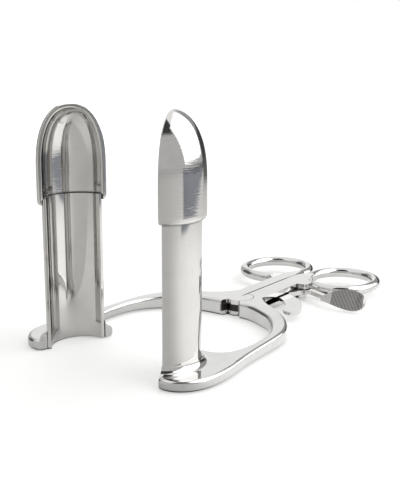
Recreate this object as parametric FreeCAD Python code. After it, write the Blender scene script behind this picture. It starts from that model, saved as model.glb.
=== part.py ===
import FreeCAD, Part
import math
import os

# Bivalve speculum: two flat tong halves hinged in a lap joint, each carrying an upright half-round blade.
# Millimetres. The pivot axis is the Z axis, the lap joint rests on z = 0, the finger rings lie
# towards +Y, the blades stand towards -Y and the half with the ratchet lever is on +X.
# The shape is drawn with the rings squeezed together, which holds the blades wide open.

V = FreeCAD.Vector
UP = V(0, 0, 1)

# flat frame
joint_thickness = 6.6
mid_z = joint_thickness / 2
plate_thickness = 3.8
arm_thickness = 6.0
arm_bend_thickness = 5.5
taper_start_y = 6.0
arm_bend_y = 18.0
arm_side_y = 32.0
plate_start_y = 60.0
handle_taper_y = 36.0
ring_side_y = 62.0
ring_side_low = 1.6
ring_side_high = 6.2
reach = 130.0
slit_half = 0.15
swing = 35.0
half_swing = swing / 2

# lap joint
lug_radius = 5.6
lug_side_gap = 0.2
lug_face_gap = 0.1
tongue_thickness = 2.2
pin_radius = 2.0
pin_running_gap = 0.05

# handles and finger rings
handle_width_left = 5.8
handle_width_right = 8.1
handle_start_y = 9.5
ring_x = 17.1
ring_y = 55.9
ring_z = 3.9
rod_radius = 2.2
ring_bore_radius = 12.1
ring_straight = 3.0
ring_free_angle = -117.0
free_end_rounding = 0.5
ring_root_angle = 200.0
rod_cover = 0.3
blend_start_y = 44.0
arm_edge_rounding = 1.2

# blades
blade_distance = 73.7
rim_gap = 0.4
rim_proud = 0.4
tip_rim = rim_gap / 2
shank_rim = tip_rim + rim_proud
axis_offset = 3.9
shank_half_width = 11.6
bulb_step = 1.54
shank_wall = 1.5
bulb_wall = 1.9
rim_rounding = 0.7
shank_edge_rounding = 0.45
skirt_lip = 0.3
braze_size = 2.6
blade_foot_z = mid_z - plate_thickness / 2
shank_top = 55.0
skirt_bottom = 50.2
bulb_full_z = 55.4
ledge_low = 0.6
ledge_high = 1.4
bulb_sag = 0.6
dome_start = 68.8
dome_height = 19.4

# ratchet
bar_outer = 25.4
bar_inner = 18.7
bar_thickness = 1.3
bar_root_angle = -11.0
bar_end_angle = 85.0
tooth_depth = 0.4
tooth_pitch = 2.0
first_tooth = 17.0
tooth_count = 22
slot_height = 2.3
slot_start_y = 7.0
slot_end_y = 40.0
slot_reach = 20.0
slit_web = 3.4
window_start_y = 16.0
window_end_y = 27.0
rivet_radius = 0.9

# release lever
lever_pin = V(9.3, 34.3, 0)
lever_pin_radius = 1.1
lever_boss = 2.4
heel_tip = (8.15, 37.9)
heel_tip_radius = 1.2
lever_thickness = 1.8
lever_running_gap = 0.05
nose_clearance = 0.15
nose_angle = 20.5
lower_cheek_radius = 2.2
cheek_corner_rounding = 0.6
spring_pin_spot = V(4.9, 31.0, 0)
spring_pin_radius = 0.7
spring_eye_wall = 0.35
pad_centre = V(33.3, 31.0, 4.1)
pad_turn = 8.0
pad_lean = 24.0
pad_width = 8.6
pad_thickness = 1.5
groove_pitch = 0.6
groove_depth = 0.22
grooved_length = 14.0
first_groove = -6.9

# plan outline of the right half, pivot at the origin
left_shoulder = [(3.4, -8.5), (10.5, -9.1)]
right_shoulder = [(4.9, -7.3), (10.0, -7.9)]
outer_points = [(8.8, 5.0), (11.8, 1.3), (16.5, -2.0), (21.8, -5.4), (27.4, -10.0), (32.4, -15.8),
                (35.3, -22.0), (36.6, -29.0), (37.2, -37.0), (37.8, -46.0), (38.7, -54.0),
                (39.9, -62.0), (40.3, -69.0), (39.6, -75.0), (37.4, -79.9), (34.0, -83.2),
                (30.3, -84.6), (27.6, -84.4)]
inner_points = [(17.0, -10.9), (22.5, -14.0), (27.0, -18.6),
                (30.4, -23.8), (32.4, -29.8), (33.1, -36.0), (33.0, -43.0), (31.9, -49.0),
                (29.2, -53.2), (25.0, -55.0), (20.8, -55.4), (17.4, -57.0)]
cheek_outline = [(8.0, 31.6), (11.6, 32.4), (12.6, 33.6), (12.6, 36.0), (11.4, 37.4), (8.0, 40.5)]


def pt(x, y, z=0.0):
    return V(x, y, z)


def polar(radius, angle, z=0.0):
    # angle is measured from the +Y direction towards +X
    a = math.radians(angle)
    return V(radius * math.sin(a), radius * math.cos(a), z)


def spline(points):
    curve = Part.BSplineCurve()
    curve.interpolate([pt(*p) for p in points])
    return curve.toShape()


def line(a, b):
    return Part.makeLine(a, b)


def prism(edges, z0, height):
    face = Part.Face(Part.Wire(Part.__sortEdges__(edges)))
    face.translate(V(0, 0, z0))
    return face.extrude(V(0, 0, height))


def cylinder(radius, height, base):
    return Part.makeCylinder(radius, height, base, UP)


def box(x0, x1, y0, y1, z0, z1):
    return Part.makeBox(x1 - x0, y1 - y0, z1 - z0, V(x0, y0, z0))


def clean(shape):
    solids = shape.removeSplitter().Solids
    solids.sort(key=lambda s: -s.Volume)
    return solids[0]


def side_curve(points):
    # smooth falling line of the side view, level at both ends
    curve = Part.BSplineCurve()
    level = V(0, -1, 0)
    curve.interpolate(Points=[V(-reach, y, z) for y, z in points], InitialTangent=level, FinalTangent=level)
    return curve.toShape()


def thickness_profile():
    # side view of a half: thick at the joint, thin at the blade plates, lifted under the rings
    plate_top = mid_z + plate_thickness / 2
    top = [(-taper_start_y, joint_thickness), (-arm_bend_y, arm_thickness), (-arm_side_y, arm_bend_thickness),
           (-plate_start_y, plate_top)]
    bottom = [(y, joint_thickness - z) for y, z in top]
    handle_top = [(ring_side_y, ring_side_high), (handle_taper_y, joint_thickness), top[0]]
    handle_bottom = [(ring_side_y, ring_side_low), (handle_taper_y, 0.0), bottom[0]]
    front = [top[-1], (-reach, plate_top), (-reach, joint_thickness - plate_top), bottom[-1]]
    edges = [side_curve(top), side_curve(bottom)]
    for chain in (handle_top, handle_bottom, front, [handle_top[0], handle_bottom[0]]):
        for (y0, z0), (y1, z1) in zip(chain, chain[1:]):
            edges.append(line(V(-reach, y0, z0), V(-reach, y1, z1)))
    face = Part.Face(Part.Wire(Part.__sortEdges__(edges)))
    return face.extrude(V(2 * reach, 0, 0))


def rim_direction():
    a = math.radians(half_swing)
    return V(math.cos(a), math.sin(a), 0)


def blade_axis():
    # vertical axis the blade surfaces turn about, in front of the shank's rim plane
    out = rim_direction()
    a = math.radians(half_swing)
    centre = V(math.sin(a), -math.cos(a), 0) * blade_distance
    return centre + out * (shank_rim - axis_offset)


def behind_rim(offset):
    # the half space behind the right rim plane at this distance from the closing plane, as a large block
    block = box(offset, reach, -reach, reach, -reach, reach)
    block.rotate(V(0, 0, 0), UP, half_swing)
    return block


def finger_ring():
    # round rod bent into a loop of two arcs and two straight lengths; it leaves the handle on the slit side
    # and ends free beside it
    centre_radius = ring_bore_radius + rod_radius
    rods = []
    for offset, start, end in ((ring_straight / 2, 180, 0), (-ring_straight / 2, 0, ring_free_angle),
                               (-ring_straight / 2, ring_root_angle, 180)):
        centre = V(ring_x, ring_y + offset, ring_z)
        circle = Part.makeCircle(rod_radius, centre + V(centre_radius, 0, 0), V(0, 1, 0))
        rod = Part.Face(Part.Wire(circle)).revolve(centre, UP, start - end)
        rod.rotate(centre, UP, end)
        rods.append(rod)
    for side in (-centre_radius, centre_radius):
        foot = V(ring_x + side, ring_y - ring_straight / 2, ring_z)
        rods.append(Part.makeCylinder(rod_radius, ring_straight, foot, V(0, 1, 0)))
    free = math.radians(ring_free_angle)
    tip = V(ring_x, ring_y - ring_straight / 2, ring_z) + V(math.cos(free), math.sin(free), 0) * centre_radius

    def free_end(edge):
        bounds = edge.BoundBox
        return bounds.Center.distanceToPoint(tip) < 0.1 and bounds.ZLength > rod_radius
    rods[1] = round_edges(rods[1], free_end_rounding, free_end)
    return rods[0].fuse(rods[1:])


def ring_opening():
    # the space inside the loop, cut a little wide so that the rod's surface covers the cut
    radius = ring_bore_radius + rod_cover
    low = ring_y - ring_straight / 2
    high = ring_y + ring_straight / 2
    middle = box(ring_x - radius, ring_x + radius, low, high, 0, joint_thickness)
    ends = [cylinder(radius, joint_thickness, V(ring_x, y, 0)) for y in (low, high)]
    return middle.fuse(ends)


def rounded_section(x0, x1, z0, z1, radius, y):
    # rectangle with rounded corners across the handle
    corners = [(x1, z0, -1, 1), (x1, z1, -1, -1), (x0, z1, 1, -1), (x0, z0, 1, 1)]
    turns = [(1, 0), (0, 1), (-1, 0), (0, -1)]
    edges = []
    for n, (x, z, sx, sz) in enumerate(corners):
        centre = V(x + sx * radius, y, z + sz * radius)
        ends = []
        for dx, dz in (turns[n], turns[(n + 1) % 4]):
            ends.append(V(centre.x + dz * radius, y, centre.z - dx * radius))
        middle = centre + V(-sx, 0, -sz) * (radius * math.sqrt(0.5))
        if edges:
            edges.append(line(edges[-1].valueAt(edges[-1].LastParameter), ends[0]))
        edges.append(Part.Arc(ends[0], middle, ends[1]).toShape())
    edges.append(line(edges[-1].valueAt(edges[-1].LastParameter), edges[0].valueAt(edges[0].FirstParameter)))
    return Part.Wire(edges)


def handle_blank(width):
    # flat bar beside the slit, drawn out to the round section of the ring rod
    core = rod_radius - rod_cover
    core_edge = ring_x - ring_bore_radius - rod_cover
    wide = rounded_section(slit_half, width, 0, joint_thickness, 0.2, blend_start_y)
    narrow = rounded_section(core_edge - 2 * core, core_edge, ring_z - core, ring_z + core, core - 0.05, ring_y)
    bar = box(slit_half, width, 0, blend_start_y, 0, joint_thickness)
    bar = bar.fuse(Part.makeLoft([wide, narrow], True, True))
    return bar.cut(ring_opening())


def arm_blank(width, shoulder):
    # outline of arm and blade plate, from its shoulder beside the lap joint
    outer = [(width, handle_start_y)] + outer_points
    inner = shoulder + inner_points
    edges = [spline(outer), spline(inner)]
    edges.append(line(pt(*outer[-1]), pt(*inner[-1])))
    edges.append(line(pt(*inner[0]), pt(slit_half, 0)))
    edges.append(line(pt(slit_half, 0), pt(slit_half, handle_start_y)))
    edges.append(line(pt(slit_half, handle_start_y), pt(width, handle_start_y)))
    return prism(edges, 0, joint_thickness)


def round_edges(shape, radius, chosen):
    edges = [e for e in shape.Edges if chosen(e)]
    return shape.makeFillet(radius, edges)


def radius_for(half_width):
    return math.hypot(half_width, axis_offset)


def turned(edges, offset):
    # solid of revolution about the blade axis from a profile in the XZ plane, kept behind its rim plane
    face = Part.Face(Part.Wire(Part.__sortEdges__(edges)))
    solid = face.revolve(V(0, 0, 0), UP, 360)
    solid.translate(blade_axis())
    return solid.common(behind_rim(offset))


def polyline(points):
    return [line(V(x, 0, z), V(x1, 0, z1)) for (x, z), (x1, z1) in zip(points, points[1:])]


def rim_edge(edge, offset):
    # true for edges lying in the rim plane
    out = rim_direction()
    return all(abs(edge.valueAt(p).dot(out) - offset) < 0.01
               for p in (edge.FirstParameter, edge.LastParameter, sum(edge.ParameterRange) / 2))


def upright(edge):
    a = edge.valueAt(edge.FirstParameter)
    b = edge.valueAt(edge.LastParameter)
    return abs(a.z - b.z) > 5 and math.hypot(a.x - b.x, a.y - b.y) < 0.01


def blade_shank():
    # half-round trough from the foot of the plate up into the tip
    outer = radius_for(shank_half_width)
    inner = outer - shank_wall
    corners = [(inner, blade_foot_z), (outer, blade_foot_z), (outer, shank_top), (inner, shank_top)]
    shank = turned(polyline(corners + corners[:1]), shank_rim)
    return round_edges(shank, shank_edge_rounding, lambda e: rim_edge(e, shank_rim) and upright(e))


def dome_arc(radius, height):
    # quarter ellipse from the cylinder up to the blade axis
    if height > radius:
        curve = Part.Ellipse(V(0, 0, dome_start + height), V(radius, 0, dome_start), V(0, 0, dome_start))
    else:
        curve = Part.Ellipse(V(radius, 0, dome_start), V(0, 0, dome_start + height), V(0, 0, dome_start))
    ends = sorted(curve.parameter(p) for p in (V(radius, 0, dome_start), V(0, 0, dome_start + height)))
    arcs = [curve.toShape(ends[0], ends[1]), curve.toShape(ends[1], ends[0] + 2 * math.pi)]
    return min(arcs, key=lambda a: a.Length)


def blade_tip():
    # wider bullet-shaped cap whose skirt wraps the top of the shank
    seat = radius_for(shank_half_width)
    full = seat + bulb_step
    hollow = full - bulb_wall
    lip = seat + skirt_lip
    curve = Part.BSplineCurve()
    middle = V((lip + full) / 2, 0, (skirt_bottom + bulb_full_z) / 2 - bulb_sag)
    curve.interpolate(Points=[V(lip, 0, skirt_bottom), middle, V(full, 0, bulb_full_z)],
                      InitialTangent=V(0.5, 0, 1), FinalTangent=UP)
    ledge = seat - shank_wall
    edges = [curve.toShape(), dome_arc(full, dome_height), dome_arc(hollow, dome_height - bulb_wall)]
    edges += polyline([(full, bulb_full_z), (full, dome_start)])
    edges += polyline([(0, dome_start + dome_height), (0, dome_start + dome_height - bulb_wall)])
    edges += polyline([(hollow, dome_start), (hollow, shank_top + ledge_high), (ledge, shank_top + ledge_low),
                       (ledge, shank_top), (seat, shank_top), (seat, skirt_bottom), (lip, skirt_bottom)])
    crown = dome_start + dome_height - bulb_wall
    axis = blade_axis()

    def outer_rim(edge):
        # the outer one of the two edges round the mouth of the tip
        middle = edge.valueAt(sum(edge.ParameterRange) / 2)
        reach = math.hypot(middle.x - axis.x, middle.y - axis.y)
        outside = reach > hollow + bulb_wall / 2 or middle.z > crown
        return rim_edge(edge, tip_rim) and middle.z > bulb_full_z and outside
    return round_edges(turned(edges, tip_rim), rim_rounding, outer_rim)


def braze_fillet():
    # cove of filler metal between the shank and the top of the plate
    size = braze_size
    foot = radius_for(shank_half_width)
    top = mid_z + plate_thickness / 2
    centre = V(foot + size, 0, top + size)
    middle = centre - V(size, 0, size) * math.sqrt(0.5)
    arc = Part.Arc(V(foot, 0, top + size), middle, V(foot + size, 0, top)).toShape()
    return turned([arc] + polyline([(foot + size, top), (foot, top), (foot, top + size)]), shank_rim)


def ratchet_bar():
    # flat curved bar centred on the pivot, toothed along its outer edge, with a rounded free end
    z0 = mid_z - bar_thickness / 2
    last_tooth = first_tooth + tooth_pitch * tooth_count
    def arc(radius, a, b):
        return Part.Arc(polar(radius, a, z0), polar(radius, (a + b) / 2, z0), polar(radius, b, z0)).toShape()
    edges = [arc(bar_outer, bar_root_angle, first_tooth), arc(bar_outer, last_tooth, bar_end_angle - 6)]
    for n in range(tooth_count):
        crest = first_tooth + n * tooth_pitch
        following = crest + tooth_pitch
        edges.append(line(polar(bar_outer, crest, z0), polar(bar_outer - tooth_depth, following, z0)))
        edges.append(line(polar(bar_outer - tooth_depth, following, z0), polar(bar_outer, following, z0)))
    middle = (bar_outer + bar_inner) / 2
    edges.append(Part.Arc(polar(bar_outer, bar_end_angle - 6, z0), polar(middle, bar_end_angle, z0),
                          polar(bar_inner, bar_end_angle - 8, z0)).toShape())
    edges.append(arc(bar_inner, bar_end_angle - 8, bar_root_angle))
    edges.append(line(polar(bar_inner, bar_root_angle, z0), polar(bar_outer, bar_root_angle, z0)))
    bar = Part.Face(Part.Wire(Part.__sortEdges__(edges))).extrude(V(0, 0, bar_thickness))
    for spot in rivet_spots():
        bar = bar.cut(cylinder(rivet_radius, joint_thickness, spot))
    return bar


def rivet_spots():
    return [polar(20.5, -7.0), polar(23.4, -7.5)]


def ratchet_rivets():
    return Part.makeCompound([cylinder(rivet_radius, joint_thickness, spot) for spot in rivet_spots()])


def pad_frame():
    # the thumb pad stands nearly upright, leaning back at the top
    turn = math.radians(pad_turn)
    lean = math.radians(pad_lean)
    along = V(math.cos(turn), math.sin(turn), 0)
    across = V(-math.sin(turn), math.cos(turn), 0)
    up = across * math.sin(lean) + UP * math.cos(lean)
    front = along.cross(up)
    return along, up, front


def thumb_pad():
    along, up, front = pad_frame()
    def at(u, v, w=0.0):
        return pad_centre + along * u + up * v + front * w
    rim = [(-11.6, -0.4), (-7.0, 2.4), (-2.0, 3.9), (3.0, 4.0), (6.4, 2.6), (7.6, 0.0), (6.5, -2.9),
           (3.0, -4.3), (-1.5, -4.2), (-6.0, -3.3), (-11.6, -2.1)]
    curve = Part.BSplineCurve()
    curve.interpolate([at(u, v, -pad_thickness / 2) for u, v in rim])
    edges = [curve.toShape(), line(at(*rim[-1], -pad_thickness / 2), at(*rim[0], -pad_thickness / 2))]
    pad = Part.Face(Part.Wire(edges)).extrude(front * pad_thickness)
    face = pad_thickness / 2
    grooves = []
    count = int(grooved_length / groove_pitch)
    for n in range(count):
        u = first_groove + n * groove_pitch
        half = groove_pitch / 2.4
        corners = [at(u - half, -pad_width, face + 0.01), at(u + half, -pad_width, face + 0.01),
                   at(u, -pad_width, face - groove_depth)]
        groove = Part.Face(Part.makePolygon(corners + corners[:1]))
        grooves.append(groove.extrude(up * 2 * pad_width))
    return pad.cut(Part.makeCompound(grooves))


def pawl_lever():
    # hooked nose, boss on the pin, short heel for the spring and a tail carrying the thumb pad
    z0 = mid_z - lever_thickness / 2
    nose = polar(bar_outer + nose_clearance, nose_angle, 0)
    hook = [(nose.x, nose.y), (9.9, 26.6), (11.2, 30.4), (11.6, 33.6), (7.2, 33.2), (7.8, 29.5), (7.7, 25.9)]
    tail = [(11.0, 36.2), (15.0, 35.4), (20.5, 33.2), (24.8, 30.9), (24.0, 28.7), (19.4, 31.0), (14.6, 32.9),
            (11.0, 32.4)]
    heel = [(10.6, 36.3), (9.1, 38.6), (7.1, 37.3), (7.0, 34.9)]
    shape = cylinder(lever_boss, lever_thickness, V(lever_pin.x, lever_pin.y, z0))
    shape = shape.fuse(cylinder(heel_tip_radius, lever_thickness, V(*heel_tip, z0)))
    for outline in (hook, tail, heel):
        corners = [V(x, y, z0) for x, y in outline]
        shape = shape.fuse(Part.Face(Part.makePolygon(corners + corners[:1])).extrude(UP * lever_thickness))
    shape = clean(shape.fuse(thumb_pad()))
    return shape.cut(cylinder(lever_pin_radius + lever_running_gap, joint_thickness, lever_pin))


def pawl_spring():
    # thin leaf with a rolled eye on its pin, its free end pressing on the heel of the lever
    height = lever_thickness
    z0 = mid_z - height / 2
    base = V(spring_pin_spot.x, spring_pin_spot.y, z0)
    eye = cylinder(spring_pin_radius + spring_eye_wall, height, base)
    corners = [V(5.55, 31.4, z0), V(5.9, 31.2, z0), V(6.3, 34.5, z0), V(6.94, 38.4, z0), V(6.6, 38.5, z0),
               V(5.95, 34.6, z0)]
    leaf = Part.Face(Part.makePolygon(corners + corners[:1])).extrude(UP * height)
    spring = clean(eye.fuse(leaf))
    return spring.cut(cylinder(spring_pin_radius, joint_thickness, spring_pin_spot))


def blade_seat():
    # room for the blade in the plate: the shank's outer surface and everything in front of the rim plane
    round_seat = cylinder(radius_for(shank_half_width), joint_thickness, blade_axis())
    front = box(-reach, shank_rim, -reach, -blade_distance / 2, 0, joint_thickness)
    front.rotate(V(0, 0, 0), UP, half_swing)
    return round_seat.fuse(front)


def frame_half(width, shoulder):
    shape = arm_blank(width, shoulder).fuse(handle_blank(width))
    shape = clean(shape.common(thickness_profile()))
    def long_side(edge):
        box_ = edge.BoundBox
        level = box_.ZLength < 2.0
        return level and edge.Length > 40 and box_.XMax > 30
    shape = round_edges(shape, arm_edge_rounding, long_side)
    shape = shape.cut(blade_seat())
    return clean(shape.fuse(finger_ring()))


def lug_layers():
    # heights of the tongue's underside and top
    return mid_z - tongue_thickness / 2, mid_z + tongue_thickness / 2


def lever_cheeks():
    # tapered cheek above the lever and a small round one below it, which carry the lever's pin
    slot_low = mid_z - slot_height / 2
    slot_high = mid_z + slot_height / 2
    corners = [pt(x, y, slot_high) for x, y in cheek_outline]
    cheek = Part.Face(Part.makePolygon(corners + corners[:1])).extrude(UP * (joint_thickness - slot_high))

    def free_corner(edge):
        bounds = edge.BoundBox
        return bounds.ZLength > 1.0 and bounds.XMin > handle_width_right + 1.0
    cheek = round_edges(cheek, cheek_corner_rounding, free_corner)
    return cheek.fuse(cylinder(lower_cheek_radius, slot_low, lever_pin))


def right_frame():
    tongue_bottom, tongue_top = lug_layers()
    clear = lug_radius + lug_side_gap
    shape = frame_half(handle_width_right, right_shoulder).fuse(lever_cheeks())
    shape = shape.cut(cylinder(clear, joint_thickness, V(0, 0, tongue_top)))
    shape = shape.cut(cylinder(clear, joint_thickness, V(0, 0, tongue_bottom - joint_thickness)))
    shape = shape.fuse(cylinder(lug_radius, tongue_thickness, V(0, 0, tongue_bottom)))
    shape = shape.cut(cylinder(pin_radius + pin_running_gap, joint_thickness, V(0, 0, 0)))
    z0 = mid_z - slot_height / 2
    pocket = box(slit_web, slot_reach, slot_start_y, slot_end_y, z0, z0 + slot_height)
    window = box(-1, slit_web, window_start_y, window_end_y, z0, z0 + slot_height)
    shape = shape.cut(pocket.fuse(window))
    shape = shape.cut(cylinder(lever_pin_radius, joint_thickness, lever_pin))
    return clean(shape.cut(cylinder(spring_pin_radius, joint_thickness, spring_pin_spot)))


def left_frame():
    tongue_bottom, tongue_top = lug_layers()
    clear = lug_radius + lug_side_gap
    shape = mirrored(frame_half(handle_width_left, left_shoulder))
    low = tongue_bottom - lug_face_gap
    high = tongue_top + lug_face_gap
    shape = shape.cut(cylinder(clear, high - low, V(0, 0, low)))
    shape = shape.fuse(cylinder(lug_radius, joint_thickness - high, V(0, 0, high)))
    shape = shape.fuse(cylinder(lug_radius, low, V(0, 0, 0)))
    shape = shape.cut(cylinder(pin_radius, joint_thickness, V(0, 0, 0)))
    for spot in rivet_spots():
        shape = shape.cut(cylinder(rivet_radius, joint_thickness, spot))
    return clean(shape.cut(ratchet_bar()))


def mirrored(shape):
    return shape.mirror(V(0, 0, 0), V(1, 0, 0))


def pin(radius, spot):
    return cylinder(radius, joint_thickness, spot)


def main():
    os.makedirs("parts", exist_ok=True)
    shank = blade_shank()
    tip = blade_tip()
    cove = braze_fillet()
    nodes = {
        "left_frame": left_frame(),
        "right_frame": right_frame(),
        "left_blade_shank": mirrored(shank),
        "right_blade_shank": shank,
        "left_blade_tip": mirrored(tip),
        "right_blade_tip": tip,
        "left_braze_fillet": mirrored(cove),
        "right_braze_fillet": cove,
        "pivot_pin": pin(pin_radius, V(0, 0, 0)),
        "ratchet_bar": ratchet_bar(),
        "ratchet_rivets": ratchet_rivets(),
        "pawl_lever": pawl_lever(),
        "pawl_pin": pin(lever_pin_radius, lever_pin),
        "pawl_spring": pawl_spring(),
        "spring_pin": pin(spring_pin_radius, spring_pin_spot),
    }
    for name, shape in nodes.items():
        bounds = shape.BoundBox
        low = tuple(round(v, 1) for v in (bounds.XMin, bounds.YMin, bounds.ZMin))
        high = tuple(round(v, 1) for v in (bounds.XMax, bounds.YMax, bounds.ZMax))
        print(name, len(shape.Solids), "solids, valid", shape.isValid(), "volume", round(shape.Volume, 1), low, high)
        shape.exportStep("parts/" + name + ".step")


main()
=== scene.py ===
# %% [markdown]
# The model comes in as a fixed frame: every solid of the instrument is already in its real place, in metres,
# with the origin on the pivot, +Y towards the finger rings and +Z up. Nothing here moves those solids.
# This lesson gives them their metal finishes, turns two finer blade caps, gives the leaf spring more edges along its
# length, and adds a table to stand on, light and a camera.

# %% Load the frame
import math
import bmesh
import bpy
from mathutils import Matrix, Vector


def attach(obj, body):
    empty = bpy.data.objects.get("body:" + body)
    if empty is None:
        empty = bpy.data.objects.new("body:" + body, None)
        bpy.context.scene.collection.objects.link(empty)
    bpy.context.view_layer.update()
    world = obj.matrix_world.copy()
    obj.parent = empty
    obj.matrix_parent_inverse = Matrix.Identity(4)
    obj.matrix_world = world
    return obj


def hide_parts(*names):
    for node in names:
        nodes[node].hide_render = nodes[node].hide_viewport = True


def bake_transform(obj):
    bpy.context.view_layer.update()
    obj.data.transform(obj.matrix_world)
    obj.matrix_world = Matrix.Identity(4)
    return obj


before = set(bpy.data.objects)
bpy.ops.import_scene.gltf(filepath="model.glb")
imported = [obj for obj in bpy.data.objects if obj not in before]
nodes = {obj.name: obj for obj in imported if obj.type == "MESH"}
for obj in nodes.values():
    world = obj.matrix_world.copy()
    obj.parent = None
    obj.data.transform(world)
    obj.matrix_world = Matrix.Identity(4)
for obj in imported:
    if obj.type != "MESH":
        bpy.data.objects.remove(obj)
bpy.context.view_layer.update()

mm = 0.001
print("nodes:", ", ".join(sorted(nodes)))


# %% [markdown]
# Node materials are small graphs. A few helpers keep the later cells short. The first one adds a node and fills
# its sockets: a socket is set either to a plain value or by a link from another node.

# %% Helpers that add nodes
def add(tree, kind, values=None, **settings):
    node = tree.nodes.new(kind)
    for name, value in settings.items():
        setattr(node, name, value)
    for socket, value in (values or {}).items():
        if isinstance(value, bpy.types.NodeSocket):
            tree.links.new(value, node.inputs[socket])
        else:
            node.inputs[socket].default_value = value
    return node


def maths(tree, operation, a, b=0.0):
    return add(tree, "ShaderNodeMath", {0: a, 1: b}, operation=operation).outputs[0]


def vectors(tree, operation, a, b):
    return add(tree, "ShaderNodeVectorMath", {0: a, 1: b}, operation=operation).outputs[0]


def times(tree, first, *others):
    for other in others:
        first = maths(tree, "MULTIPLY", first, other)
    return first


def larger(tree, first, *others):
    for other in others:
        first = maths(tree, "MAXIMUM", first, other)
    return first


# %% [markdown]
# Most of the work in a material is done by masks, which are values from 0 to 1. These helpers make a mask out of a
# distance or a noise, and turn a mask into a value or into a mix of two colours.

# %% Helpers for masks
def ramp(tree, value, start, end):
    # rises evenly from 0 at start to 1 at end
    return add(tree, "ShaderNodeMapRange", {"Value": value, "From Min": start, "From Max": end}).outputs[0]


def edge(tree, value, start, end):
    # the same with a soft beginning and a soft end
    node = add(tree, "ShaderNodeMapRange", {"Value": value, "From Min": start, "From Max": end},
               interpolation_type="SMOOTHSTEP")
    return node.outputs[0]


def between(tree, mask, low, high):
    return add(tree, "ShaderNodeMapRange", {"Value": mask, "To Min": low, "To Max": high}).outputs[0]


def two_colours(tree, mask, first, second):
    colour_a, colour_b, result = 6, 7, 2
    node = add(tree, "ShaderNodeMix", {0: mask, colour_a: first, colour_b: second}, data_type="RGBA")
    return node.outputs[result]


# %% [markdown]
# An effect that several finishes share is built once as a node group. A group has named inputs and outputs, and
# every material that uses it sets its own values.

# %% Helper that starts a node group
def new_group(name, inputs, outputs):
    group = bpy.data.node_groups.new(name, "ShaderNodeTree")
    for label, value in inputs.items():
        socket = group.interface.new_socket(label, in_out="INPUT", socket_type="NodeSocketFloat")
        socket.default_value = value
    for label in outputs:
        group.interface.new_socket(label, in_out="OUTPUT", socket_type="NodeSocketFloat")
    return group, group.nodes.new("NodeGroupInput").outputs, group.nodes.new("NodeGroupOutput").inputs


# %% [markdown]
# Ground steel shows fine parallel lines left by the wheel. A noise texture stretched along one axis gives
# them: the object's own coordinates are divided by a long length along the grain and a short one across it,
# so the lines keep their real width of some hundredths of a millimetre on every piece.

# %% Effect: grinding lines
grinding, given, made = new_group("grinding_lines", {"Length": 6 * mm, "Width": 0.08 * mm},
                                  ["Height", "Streaks"])
streak_scale = 0.12     # the broad streaks are about eight times as wide as the fine lines
place = add(grinding, "ShaderNodeTexCoord").outputs["Object"]
size = add(grinding, "ShaderNodeCombineXYZ", {"X": given["Width"], "Y": given["Length"], "Z": given["Width"]})
stretched = vectors(grinding, "DIVIDE", place, size.outputs[0])
fine = add(grinding, "ShaderNodeTexNoise", {"Vector": stretched, "Scale": 1.0, "Detail": 3.0})
broad = add(grinding, "ShaderNodeTexNoise", {"Vector": stretched, "Scale": streak_scale, "Detail": 2.0})
grinding.links.new(fine.outputs[0], made["Height"])
grinding.links.new(broad.outputs[0], made["Streaks"])
print("made group", grinding.name)


# %% [markdown]
# Polished steel is never perfectly clean or flat. Hands and cloths leave cloudy patches and hairline scratches,
# and the buffing wheel leaves a slow waviness and short level lines that break up the reflections. One group
# holds all four, each as its own output, so that every finish can take as much of each as it needs.

# %% Effect: handling marks and buffing
handling, given, made = new_group("handling_marks", {"Patch size": 9 * mm, "Scratch length": 5 * mm},
                                  ["Smudge", "Scratch", "Waves", "Buffing"])
place = add(handling, "ShaderNodeTexCoord").outputs["Object"]
cloud_scale = maths(handling, "DIVIDE", 1.0, given["Patch size"])
cloud = add(handling, "ShaderNodeTexNoise", {"Vector": place, "Scale": cloud_scale, "Detail": 4.0})
handling.links.new(ramp(handling, cloud.outputs[0], 0.45, 0.75), made["Smudge"])

scratch_scale = maths(handling, "DIVIDE", 1.0, given["Scratch length"])
scratch_turns = (0.4, 1.5, 2.3)         # three directions, in radians
scratch_thinning = (40.0, 1.0, 1.0)     # a scratch is forty times longer than it is wide
lines = []
for turn in scratch_turns:
    turned = add(handling, "ShaderNodeVectorRotate", {"Vector": place, "Angle": turn}, rotation_type="Y_AXIS")
    thin = vectors(handling, "MULTIPLY", turned.outputs[0], scratch_thinning)
    noise = add(handling, "ShaderNodeTexNoise", {"Vector": thin, "Scale": scratch_scale, "Detail": 1.0})
    lines.append(ramp(handling, noise.outputs[0], 0.70, 0.74))
handling.links.new(larger(handling, *lines), made["Scratch"])

waves_per_metre = 70.0
buffing_lines_per_metre = (220.0, 220.0, 2200.0)    # long and level, about half a millimetre high
wave = add(handling, "ShaderNodeTexNoise", {"Vector": place, "Scale": waves_per_metre, "Detail": 1.0})
handling.links.new(wave.outputs[0], made["Waves"])
level_lines = vectors(handling, "MULTIPLY", place, buffing_lines_per_metre)
buffed = add(handling, "ShaderNodeTexNoise", {"Vector": level_lines, "Scale": 1.0, "Detail": 3.0})
handling.links.new(buffed.outputs[0], made["Buffing"])
print("made group", handling.name)


# %% [markdown]
# Shade is painted into grooves, slits and the corners between two pieces. The ambient occlusion node finds such
# narrow places by itself, because it tells how much of the room within a short reach is filled with metal, and the
# mask it gives darkens the colour there.

# %% Effect: painted shade in narrow places
narrow_shade, given, made = new_group("narrow_places_painted_shade", {"Reach": 1.2 * mm}, ["Mask"])
openness = add(narrow_shade, "ShaderNodeAmbientOcclusion", {"Distance": given["Reach"]}, samples=8).outputs["AO"]
narrow_shade.links.new(ramp(narrow_shade, openness, 0.88, 0.55), made["Mask"])
print("made group", narrow_shade.name)
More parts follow.
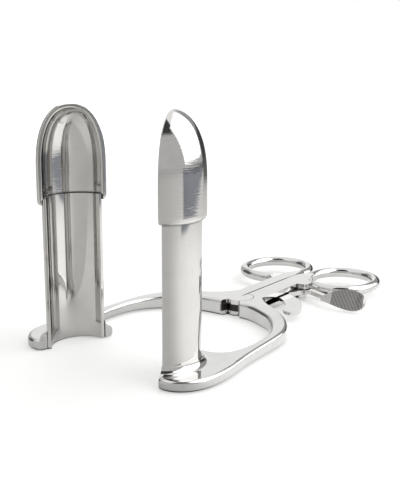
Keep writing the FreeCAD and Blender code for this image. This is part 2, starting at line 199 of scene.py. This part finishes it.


# %% [markdown]
# Two places on the forged halves get still darker painted shade: the thin slit between the closed handles, and the
# open slot at the front of the lap joint, where one looks into the joint. Each is a box, given by its middle and by
# half its size, and the mask is 1 inside the box.

# %% Painted shade on the forged halves
painted_shade_boxes = {
    "slit between the handles": ((0, 20, 5.5), (0.36, 18.5, 2.6)),
    "open slot of the lap joint": ((0.6, -7.2, 3.3), (4.4, 2.6, 1.5)),
}


def inside_shade_boxes(tree):
    masks = []
    place = add(tree, "ShaderNodeTexCoord").outputs["Object"]
    for middle, half_size in painted_shade_boxes.values():
        offset = vectors(tree, "SUBTRACT", place, tuple(c * mm for c in middle))
        scaled = vectors(tree, "DIVIDE", offset, tuple(h * mm for h in half_size))
        distances = add(tree, "ShaderNodeVectorMath", {0: scaled}, operation="ABSOLUTE").outputs[0]
        axes = add(tree, "ShaderNodeSeparateXYZ", {"Vector": distances}).outputs
        masks.append(ramp(tree, larger(tree, axes["X"], axes["Y"], axes["Z"]), 1.05, 0.85))
    return larger(tree, *masks)


print("dark places:", ", ".join(painted_shade_boxes))


# %% [markdown]
# All finishes share one recipe: stainless steel as a metal whose roughness, colour and surface height come from
# the three groups. Only the numbers differ, so one function builds every material from a few plain settings.
# The heights are real: a polished surface is flat to some thousandths of a millimetre.

# %% Recipe for steel
# painted shade: the near-black colour given to the narrow places and, where asked, the dark boxes; the same places
# are also made rougher by the amount on the next line
painted_shade_colour = (0.045, 0.04, 0.038, 1)
painted_shade_dullness = 0.3      # added to the roughness where residue lies
worn_darkening = 0.93


def steel(name, tint, smooth, dull, grain=0.0, waves=0.0, buffing=0.0, painted_shade_places=False):
    material = bpy.data.materials.new(name)
    material.use_nodes = True
    tree = material.node_tree
    tree.nodes.clear()
    ground = add(tree, "ShaderNodeGroup", node_tree=grinding).outputs
    marks = add(tree, "ShaderNodeGroup", node_tree=handling).outputs
    # painted shade: the narrow-places mask, and the dark boxes if asked, darken the colour below
    painted_shade = add(tree, "ShaderNodeGroup", node_tree=narrow_shade).outputs["Mask"]
    if painted_shade_places:
        painted_shade = larger(tree, painted_shade, inside_shade_boxes(tree))

    worn = larger(tree, marks["Smudge"], marks["Scratch"])
    worn_tint = tuple(worn_darkening * c for c in tint[:3]) + (1.0,)
    colour = two_colours(tree, painted_shade, two_colours(tree, worn, tint, worn_tint), painted_shade_colour)

    streaked = maths(tree, "ADD", times(tree, ground["Streaks"], 0.6), times(tree, worn, 0.4))
    rough = maths(tree, "ADD", between(tree, streaked, smooth, dull), times(tree, painted_shade, painted_shade_dullness))

    height = maths(tree, "ADD", times(tree, ground["Height"], grain), times(tree, marks["Waves"], waves))
    height = maths(tree, "ADD", height, times(tree, marks["Buffing"], buffing))
    bump = add(tree, "ShaderNodeBump", {"Height": height, "Distance": 1.0, "Strength": 1.0})

    shader = add(tree, "ShaderNodeBsdfPrincipled", {"Base Color": colour, "Metallic": 1.0, "Roughness": rough,
                                                    "Normal": bump.outputs[0]})
    add(tree, "ShaderNodeOutputMaterial", {"Surface": shader.outputs[0]})
    print("made finish", name)
    return material


# %% [markdown]
# Four finishes are enough: the mirror polish of the blades, the same polish with buffing lines on the caps, the
# slightly duller ground steel of the forged halves, and the rolled strip of the spring.

# %% Steel finishes
polished = (0.66, 0.65, 0.635, 1)
ground_steel = (0.64, 0.635, 0.625, 1)
strip = (0.50, 0.50, 0.50, 1)
finishes = {
    "polished blade steel": steel("polished_blade_steel", polished, 0.03, 0.10, waves=0.01 * mm),
    "buffed cap steel": steel("buffed_cap_steel", polished, 0.04, 0.12, waves=0.01 * mm, buffing=0.022 * mm),
    # the forged halves also get the painted shade of the slit and of the lap joint's slot
    "ground handle steel": steel("ground_handle_steel", ground_steel, 0.07, 0.16, grain=0.0004 * mm,
                                 waves=0.01 * mm, painted_shade_places=True),
    "spring strip": steel("spring_strip", strip, 0.20, 0.40, grain=0.001 * mm),
}


# %% [markdown]
# The blades, the filler in their corners and the lever are mirror polished; the forged halves, the bar and the
# pins are ground satin; the small spring is rolled strip.

# %% Put each finish on its pieces
wearing = {
    "polished blade steel": ["left_blade_shank", "right_blade_shank", "left_braze_fillet", "right_braze_fillet",
                             "pawl_lever"],
    "buffed cap steel": ["left_blade_tip", "right_blade_tip"],
    "ground handle steel": ["left_frame", "right_frame", "pivot_pin", "ratchet_bar", "ratchet_rivets",
                            "pawl_pin", "spring_pin"],
    "spring strip": ["pawl_spring"],
}
for finish, names in wearing.items():
    for name in names:
        for slot in nodes[name].material_slots:
            slot.material = finishes[finish]
    print(finish, "on", len(names), "pieces")


# %% [markdown]
# Each blade ends in a cap: a thin turned shell, cut off along a plane in front of its turning axis. It sits on the
# top of the trough, and its skirt ends in a crisp step. The measures are in millimetres, radii from the turning
# axis and heights from the underside of the instrument.

# %% Measures of a cap
rim_plane = 3.5         # from the turning axis to the cut
rim_round = 0.6
seat = 12.24            # where the cap sits on the trough
hollow = 11.88
outside = 13.78
skirt = 53.0            # height of the lower edge
lip = 1.4               # rounding of the lower edge
trough_top = 55.0
shoulder = 65.0         # height where the dome starts
outer_dome = 22.65      # height of the dome above the shoulder, on the axis
inner_dome = 21.0
fullness = 2.4          # 2 would be an ellipse, more is fuller
skirt_steps, corner_steps, wall_steps, dome_steps = 4, 6, 12, 60
print("cap height in mm:", shoulder + outer_dome - skirt)


# %% [markdown]
# A lathe turner would draw the cap as an outer and an inner outline. Spinning them is easy, but the cut would then
# run across the faces. So each outline is asked for at a given depth behind the axis: it gives radii and heights
# from the skirt up, and stops where the radius gets down to that depth.

# %% Outlines of a cap
def dome(radius, height, depth):
    last = math.acos(min(1.0, depth / radius) ** (fullness / 2))
    for i in range(1, dome_steps + 1):
        angle = last * (1 - (1 - i / dome_steps) ** 2)      # steps get finer towards the top
        yield (max(depth, radius * math.cos(angle) ** (2 / fullness)),
               shoulder + height * math.sin(angle) ** (2 / fullness))


def wall(radius, low):
    return [(radius, low + (shoulder - low) * i / wall_steps) for i in range(1, wall_steps + 1)]


def outer_outline(depth):
    centre = outside - lip
    middle = skirt + lip
    first = -math.acos(min(1.0, max(0.0, (depth - centre) / lip)))
    start = (centre + lip * math.cos(first), middle + lip * math.sin(first))
    points = [(min(max(seat + (centre - seat) * i / skirt_steps, depth), start[0]), start[1])
              for i in range(skirt_steps)]
    for i in range(corner_steps + 1):
        angle = first * (1 - i / corner_steps)
        points.append((max(depth, centre + lip * math.cos(angle)), middle + lip * math.sin(angle)))
    return points + wall(outside, middle) + list(dome(outside, outer_dome, depth))


def inner_outline(depth):
    points = [(seat, skirt + (trough_top - skirt) * i / skirt_steps) for i in range(skirt_steps)]
    points += [(max(seat + (hollow - seat) * i / corner_steps, depth), trough_top) for i in range(corner_steps + 1)]
    if depth >= hollow:
        return points + [points[-1]] * (wall_steps + dome_steps)
    return points + wall(hollow, trough_top) + list(dome(hollow, inner_dome, depth))


print("points in an outline:", len(outer_outline(rim_plane)), len(inner_outline(rim_plane)))


# %% [markdown]
# A slice side by side with the cut is an arch: up one side, over the top and down the other. Rows of arches from
# the back of the cap to its rim make the outer face, the rim and the inner face. The rim is rounded with a curve
# that leaves one row, bends round the sharp corner and arrives at the next.

# %% Rows of arches
def arch(outline, depth):
    side = [(math.sqrt(max(0.0, r * r - depth * depth)), z) for r, z in outline(depth)]
    return [Vector((depth, -s, z)) for s, z in side] + [Vector((depth, s, z)) for s, z in reversed(side[:-1])]


def part_way(first, second, amount):
    return [a.lerp(b, amount) for a, b in zip(first, second)]


def rounded(start, corner, end):
    rows = []
    for t in (0.25, 0.5, 0.75):
        rows.append([a * (1 - t) ** 2 + b * 2 * t * (1 - t) + c * t * t for a, b, c in zip(start, corner, end)])
    return rows + [end]


def depths_round(radius, nearest, steps):
    # even steps of angle from the depth called nearest to the very back of that radius
    first = math.acos(nearest / radius)
    return [radius * math.cos(first * (1 - i / steps)) for i in range(steps + 1)]


behind_rim = depths_round(seat, rim_plane + rim_round, 28)
behind_seat = depths_round(outside, seat, 14)[1:]
outer_edge, inner_edge = arch(outer_outline, rim_plane), arch(inner_outline, rim_plane)
flat_start, flat_end = part_way(outer_edge, inner_edge, 0.33), part_way(outer_edge, inner_edge, 0.67)
cap_rows = [arch(outer_outline, depth) for depth in reversed(behind_rim + behind_seat)]
cap_rows += rounded(cap_rows[-1], outer_edge, flat_start) + [flat_end]
cap_rows += rounded(flat_end, inner_edge, arch(inner_outline, behind_rim[0]))
cap_rows += [arch(inner_outline, depth) for depth in behind_rim[1:]]
print("rows:", len(cap_rows), "points in a row:", len(cap_rows[0]))


# %% [markdown]
# The rows become a closed skin of four-sided faces. Points that fall together, as at the back and along the lower
# edge, are merged. The left blade is the mirror image of the right one in X, and both stand turned by about 17
# degrees, so that the blades' rims face each other when the instrument closes.

# %% Blade caps
blade_axis = Vector((19.01, -71.28, 0))
outward = Vector((0.9537, 0.3007, 0))
across = Vector((-0.3007, 0.9537, 0))
upwards = Vector((0, 0, 1))
merge_distance = 0.0005
crease_angle = math.radians(35)


def blade_cap(name, side):
    shell = bmesh.new()
    grid = [[shell.verts.new(point) for point in row] for row in cap_rows]
    for row, following in zip(grid, grid[1:]):
        for i in range(len(row) - 1):
            shell.faces.new((row[i], row[i + 1], following[i + 1], following[i]))
    bmesh.ops.remove_doubles(shell, verts=shell.verts, dist=merge_distance)
    bmesh.ops.dissolve_degenerate(shell, edges=shell.edges, dist=merge_distance)
    for v in shell.verts:
        p = blade_axis + outward * v.co.x + across * v.co.y + upwards * v.co.z
        v.co = Vector((side * p.x, p.y, p.z)) * mm
    bmesh.ops.recalc_face_normals(shell, faces=shell.faces)
    for face in shell.faces:
        face.smooth = True
    open_edges = sum(1 for e in shell.edges if len(e.link_faces) != 2)
    mesh = bpy.data.meshes.new(name)
    shell.to_mesh(mesh)
    shell.free()
    mesh.set_sharp_from_angle(angle=crease_angle)
    mesh.materials.append(finishes["buffed cap steel"])
    print(name, "faces:", len(mesh.polygons), "open edges:", open_edges)
    cap = bpy.data.objects.new(name, mesh)
    bpy.context.collection.objects.link(cap)
    return cap


for hand, side in (("left", -1), ("right", 1)):
    cap = blade_cap(hand + "_cap", side)
    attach(cap, hand + "_half")
    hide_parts(hand + "_blade_tip")


# %% [markdown]
# The small leaf spring is a strip with its eye on its pin and its free end against the heel of the lever. A copy of
# the imported solid gets a few more edges along its length and stands in for the imported one, which is hidden.

# %% Leaf spring
leaf_mesh = nodes["pawl_spring"].data.copy()
leaf = bmesh.new()
leaf.from_mesh(leaf_mesh)
long_edges = [e for e in leaf.edges if e.calc_length() > 2.0 * mm]
bmesh.ops.subdivide_edges(leaf, edges=long_edges, cuts=5)
leaf.to_mesh(leaf_mesh)
leaf.free()
spring = bpy.data.objects.new("leaf_spring", leaf_mesh)
bpy.context.collection.objects.link(spring)
spring.material_slots[0].material = finishes["spring strip"]
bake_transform(spring)
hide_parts("pawl_spring")
print("leaf spring faces:", len(leaf_mesh.polygons))


# %% [markdown]
# The instrument stands on the front edges of its two blade plates and on the joint, so the table is a plane
# through those two heights. It is tilted by about one degree under the fixed model, and lies a hair below it.

# %% Table
plate_edge = Vector((0, -84 * mm, 1.4 * mm))
joint_edge = Vector((0, -6 * mm, 0))
hair = Vector((0, 0, 0.05 * mm))
slope = math.atan2(plate_edge.z - joint_edge.z, joint_edge.y - plate_edge.y)
bpy.ops.mesh.primitive_plane_add(size=12)
table = bpy.context.object
table.name = "table"
table.location = joint_edge - hair
table.rotation_euler = (-slope, 0, 0)
print("table tilt in degrees:", round(math.degrees(slope), 2))


# %% [markdown]
# The table is covered with white paper. Metal mirrors it everywhere, so its far parts matter as much as the near
# ones. Every place on it is known by its distance from the right blade and by its compass direction from there,
# where 0 degrees is +Y and 90 is +X.

# %% Paper: where a point lies
paper = bpy.data.materials.new("white_paper")
paper.use_nodes = True
tree = paper.node_tree
tree.nodes.clear()
right_blade = (20 * mm, -64 * mm, 0)
lamp_side = (0.64, 0.77, 0)
place = add(tree, "ShaderNodeTexCoord").outputs["Object"]
from_blade = vectors(tree, "SUBTRACT", place, right_blade)
distance = add(tree, "ShaderNodeVectorMath", {0: from_blade}, operation="LENGTH").outputs["Value"]
heading = add(tree, "ShaderNodeVectorMath", {0: from_blade}, operation="NORMALIZE").outputs[0]
towards_lamp = add(tree, "ShaderNodeVectorMath", {0: heading, 1: lamp_side}, operation="DOT_PRODUCT").outputs["Value"]
parts = add(tree, "ShaderNodeSeparateXYZ", {"Vector": from_blade}).outputs
compass = maths(tree, "DEGREES", maths(tree, "ARCTAN2", parts["X"], parts["Y"]))
print("paper measured from", [round(v / mm) for v in right_blade], "mm")


# %% [markdown]
# The paper ends in a straight edge on the right and in a gap behind, and the dark room shows beyond both. Only the
# camera sees it fade into plain white, through Light Path's mask; for the metal a painted light makes it a little
# brighter near the instrument and on the side of the softbox, as in the reflections of the photograph.

# %% Paper: masks
past_edge = times(tree, edge(tree, parts["X"], 0.22, 0.25), edge(tree, compass, 92, 86))
back_gap = times(tree, edge(tree, compass, -23, -19), edge(tree, compass, 17, 11), edge(tree, distance, 0.40, 0.55))
off_paper = larger(tree, past_edge, back_gap)
far = larger(tree, off_paper, edge(tree, distance, 0.25, 0.9))
# painted light: a brighter pool on the softbox side of the paper and beside the instrument
lamp_side_painted_light = times(tree, larger(tree, towards_lamp, 0.0), edge(tree, distance, 0.42, 0.10))
beside_painted_light = times(tree, edge(tree, distance, 0.35, 0.10), edge(tree, compass, 125, 85))
print("made the masks of the paper")


# %% [markdown]
# The colours come last: white paper with a faint fibre, and two dark greys for what lies past it. The two lifts are
# emission that only one kind of ray sees, so they put no light on the object itself: the camera's lift is the plain
# white backdrop, and the metal's lift is painted light in the reflections.

# %% Paper: colours and lifts
ray = add(tree, "ShaderNodeLightPath")
camera_lift = times(tree, ray.outputs["Is Camera Ray"], between(tree, far, 0.52, 1.0))
# painted light: the paper's glow that only reflections see
painted_glow = maths(tree, "ADD", times(tree, lamp_side_painted_light, 0.38), between(tree, beside_painted_light, 0.08, 0.26))
painted_light_lift = times(tree, ray.outputs["Is Glossy Ray"], painted_glow, maths(tree, "SUBTRACT", 1.0, off_paper))
fibre = add(tree, "ShaderNodeTexNoise", {"Scale": 300.0, "Detail": 3.0}).outputs[0]
white = two_colours(tree, fibre, (0.47, 0.47, 0.46, 1), (0.50, 0.50, 0.49, 1))
dark = two_colours(tree, back_gap, (0.13, 0.14, 0.17, 1), (0.07, 0.07, 0.07, 1))
matt = add(tree, "ShaderNodeBsdfPrincipled", {"Base Color": two_colours(tree, off_paper, white, dark),
                                              "Roughness": 0.7, "Emission Color": (1, 1, 1, 1),
                                              "Emission Strength": maths(tree, "ADD", camera_lift, painted_light_lift)})
add(tree, "ShaderNodeOutputMaterial", {"Surface": matt.outputs[0]})
table.data.materials.append(paper)
print("made paper for", table.name)


# %% [markdown]
# Metal looks like what it reflects. A photographer surrounds it with white cards and leaves dark gaps between
# them: without the gaps polished steel looks like grey plastic. The world is that room. It is a grey wall on which
# each card is a soft-edged patch, given by its brightness, where 1 is white, its compass directions from west to
# east, and its heights above the horizon, all in degrees.

# %% Room: directions
world = bpy.data.worlds.new("studio")
bpy.context.scene.world = world
world.use_nodes = True
tree = world.node_tree
tree.nodes.clear()
direction = add(tree, "ShaderNodeTexCoord").outputs["Generated"]
parts = add(tree, "ShaderNodeSeparateXYZ", {"Vector": direction}).outputs
compass = maths(tree, "DEGREES", maths(tree, "ARCTAN2", parts["X"], parts["Y"]))
rise = maths(tree, "DEGREES", maths(tree, "ARCSINE", parts["Z"]))


def card(behind, brightness, west, east, low, high, soft):
    sides = times(tree, edge(tree, compass, west - soft, west + soft), edge(tree, compass, east + soft, east - soft))
    ends = times(tree, edge(tree, rise, low - soft, low + soft), edge(tree, rise, high + soft, high - soft))
    return add(tree, "ShaderNodeMix", {0: times(tree, sides, ends), 2: behind, 3: brightness},
               data_type="FLOAT").outputs[0]


# %% [markdown]
# Each card was found by following the reflections on the caps and the troughs back into the room. -100 and 100
# stand for as far down or up as the room goes, and -200 and 200 for all the way round.

# %% Room: cards
wall_brightness = 0.58
cards = [
    # name, brightness, west, east, low, high, softness of the edge
    ("ceiling diffuser", 1.1, -200, 97, 42, 100, 5),
    ("dark corner of the ceiling", 0.06, 97, 178, 42, 84, 3),
    ("side wall", 0.66, -200, -122, -100, 40, 4),
    ("wall behind the camera", 0.60, 86, 200, -100, 42, 4),
    ("dark gap on the left", 0.12, -122, -80, -100, 36, 4),
    ("white card behind", 1.1, -52, -24, -100, 60, 3),
    ("half-dark wall behind", 0.40, -24, 13, 10, 38, 3),
    ("dark gap behind", 0.07, -21, 13, -100, 14, 3),
]
brightness_seen = wall_brightness
for name, *values in cards:
    brightness_seen = card(brightness_seen, *values)
    print("card:", name)
ray = add(tree, "ShaderNodeLightPath")
room = add(tree, "ShaderNodeBackground", {"Color": (1, 1, 1, 1), "Strength": brightness_seen})
backdrop = add(tree, "ShaderNodeBackground", {"Color": (1, 1, 1, 1), "Strength": 1.0})
either = add(tree, "ShaderNodeMixShader", {0: ray.outputs["Is Camera Ray"], 1: room.outputs[0],
                                           2: backdrop.outputs[0]})
add(tree, "ShaderNodeOutputWorld", {"Surface": either.outputs[0]})


# %% [markdown]
# The one strong light is a large softbox behind the instrument on the right. On the cap of the right blade its
# reflection is the white patch with crisp edges. Its power follows from how bright its cloth should look:
# a sheet that gives off brightness 1 needs pi watts for each square metre.

# %% Softbox
lamp_compass, lamp_rise = math.radians(50), math.radians(37)
lamp_away, lamp_width, lamp_height = 1.0, 1.45, 1.3     # metres
cloth_brightness = 1.6
aimed_at = Vector((20, -70, 60)) * mm
lamp = bpy.data.lights.new("main_softbox", "AREA")
lamp.shape = "RECTANGLE"
lamp.size = lamp_width
lamp.size_y = lamp_height
lamp.energy = cloth_brightness * math.pi * lamp_width * lamp_height
holder = bpy.data.objects.new("main_softbox", lamp)
towards = Vector((math.sin(lamp_compass) * math.cos(lamp_rise), math.cos(lamp_compass) * math.cos(lamp_rise),
                  math.sin(lamp_rise)))
holder.location = aimed_at + towards * lamp_away
holder.rotation_euler = (-towards).to_track_quat("-Z", "Y").to_euler()
bpy.context.collection.objects.link(holder)
print("softbox power", round(lamp.energy, 1), "W")


# %% [markdown]
# The camera was placed by measuring where known points of the instrument fall in the picture: its height,
# its heading and how far it looks down are the values below. The focal length is that of a long portrait
# lens on a frame 36 mm high.

# %% Camera
camera_place = Vector((181.66, -266.26, 103.37)) * mm
heading = math.radians(37.22)
pitch = math.radians(13.49)
roll = math.radians(0.35)
forward = Vector((-math.sin(heading) * math.cos(pitch), math.cos(heading) * math.cos(pitch), -math.sin(pitch)))
level = Vector((math.cos(heading), math.sin(heading), 0))
upward = level.cross(forward)
right = level * math.cos(roll) + upward * math.sin(roll)
top = upward * math.cos(roll) - level * math.sin(roll)
camera = bpy.data.objects.new("camera", bpy.data.cameras.new("camera"))
camera.data.sensor_width = 36
camera.data.lens = 59.01
camera.data.clip_start = 0.01
turn = Matrix((right, top, -forward)).transposed().to_4x4()
camera.matrix_world = Matrix.Translation(camera_place) @ turn
bpy.context.collection.objects.link(camera)
bpy.context.scene.camera = camera
bpy.context.scene.view_settings.view_transform = "Standard"
print("camera at", [round(v / mm, 1) for v in camera.location])
